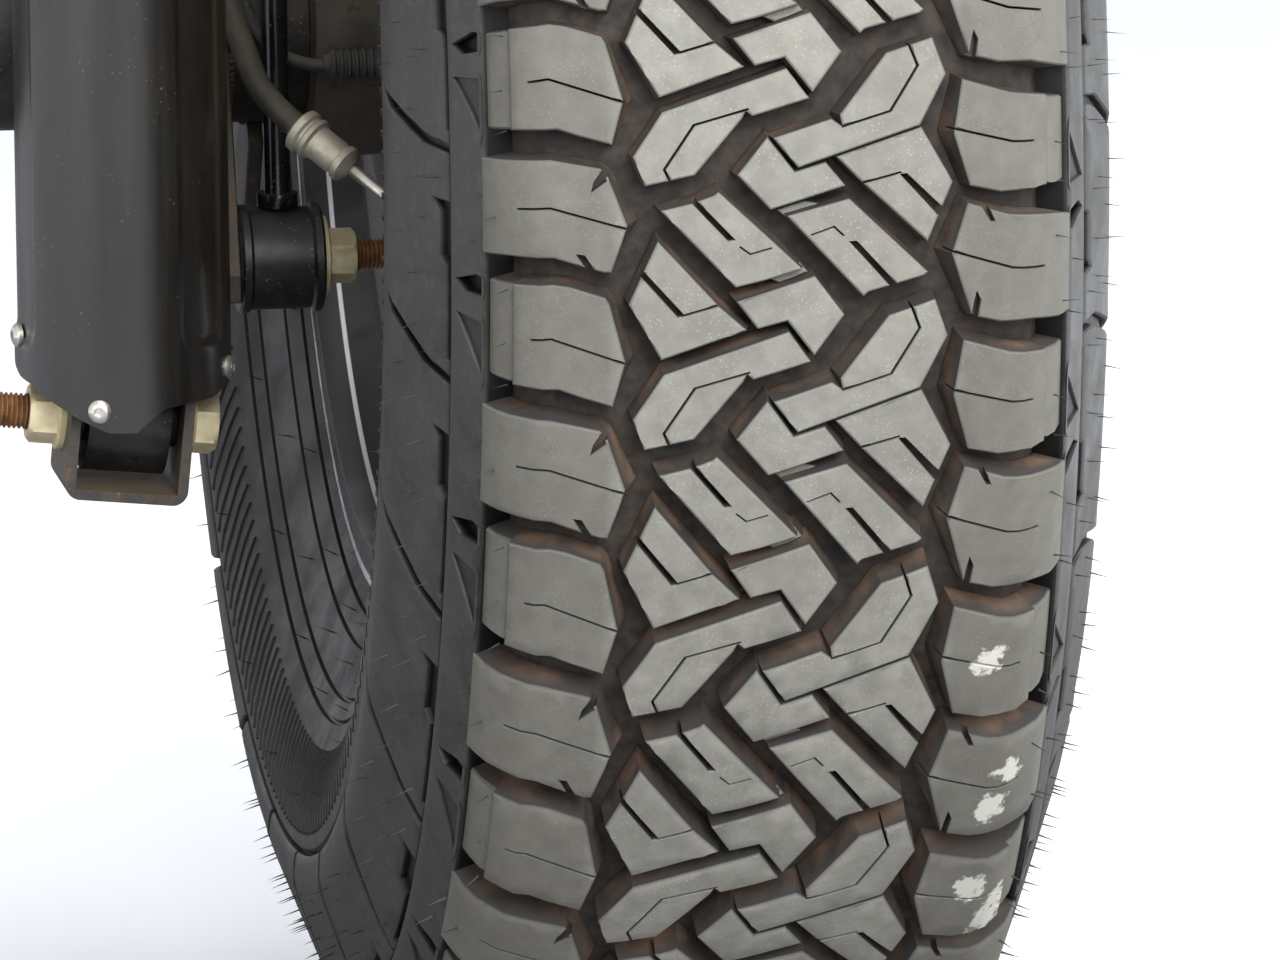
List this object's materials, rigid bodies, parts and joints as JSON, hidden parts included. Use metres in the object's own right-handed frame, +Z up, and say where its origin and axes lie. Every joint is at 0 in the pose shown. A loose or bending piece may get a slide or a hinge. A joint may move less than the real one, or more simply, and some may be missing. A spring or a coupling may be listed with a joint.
{
  "type": "off-road vehicle rear wheel end",
  "caption": "Right rear wheel end of a lifted off-road vehicle: all-terrain tyre on an alloy wheel, disc brake, axle tube end, guarded shock absorber and stabiliser link.",
  "frame": {"origin": "centre of the axle tube's inboard end, on the wheel's axis", "axes": "+X outboard along the wheel's axis, to the vehicle's right; +Y forward; +Z up"},
  "size_m": [0.5689, 0.8838, 0.8838],
  "materials": {
    "tyre_rubber": "matt black rubber, dusty in the grooves",
    "gloss_black_alloy": "gloss black paint",
    "bare_steel": "machined steel, light rust",
    "zinc_steel": "yellow zinc, rusting",
    "axle_paint": "satin black paint, dusty",
    "cast_iron": "cast and machined iron",
    "guard_coat": "satin dark grey, rusty dust",
    "black_rubber": "moulded black rubber",
    "black_rod": "gloss black paint",
    "dull_aluminium": "dull cast aluminium",
    "chrome_rod": "hard chrome"
  },
  "bodies": {
    "axle_end": {"axle_tube": "axle_paint", "bearing_housing": "axle_paint", "brake_shield": "axle_paint", "caliper_bracket": "cast_iron", "brake_caliper": "cast_iron", "brake_pads": "bare_steel", "shock_bracket": "axle_paint", "shock_bolt": "zinc_steel", "shock_nut": "zinc_steel", "shock_bushing": "black_rubber", "shock_tube": "axle_paint", "shock_rod": "chrome_rod", "shock_top_bushing": "black_rubber", "shock_guard": "guard_coat", "guard_clamps": "axle_paint", "guard_screws": "bare_steel", "link_bracket": "axle_paint", "link_stud": "zinc_steel", "link_nut": "zinc_steel", "link_lower_eye": "black_rubber", "link_upper_eye": "black_rubber", "link_rod": "black_rod", "control_arm_bracket": "axle_paint", "brake_hose": "black_rubber", "hose_ferrule": "dull_aluminium", "brake_line": "bare_steel", "axle_brake_pipe": "bare_steel", "hose_tab": "axle_paint", "cable_tab": "axle_paint", "parking_cable": "bare_steel", "parking_boot": "black_rubber"},
    "wheel": {"tyre": "tyre_rubber", "rim": "gloss_black_alloy", "centre_cap": "gloss_black_alloy", "lug_nuts": "gloss_black_alloy", "valve_stem": "black_rubber", "brake_disc": "cast_iron", "hub_shaft": "bare_steel"}
  },
  "joints": [
    {"name": "wheel_spin", "type": "hinge", "parent": "axle_end", "child": "wheel", "pos_m": [0.43, 0, 0], "axis": [1, 0, 0], "continuous": true}
  ]
}
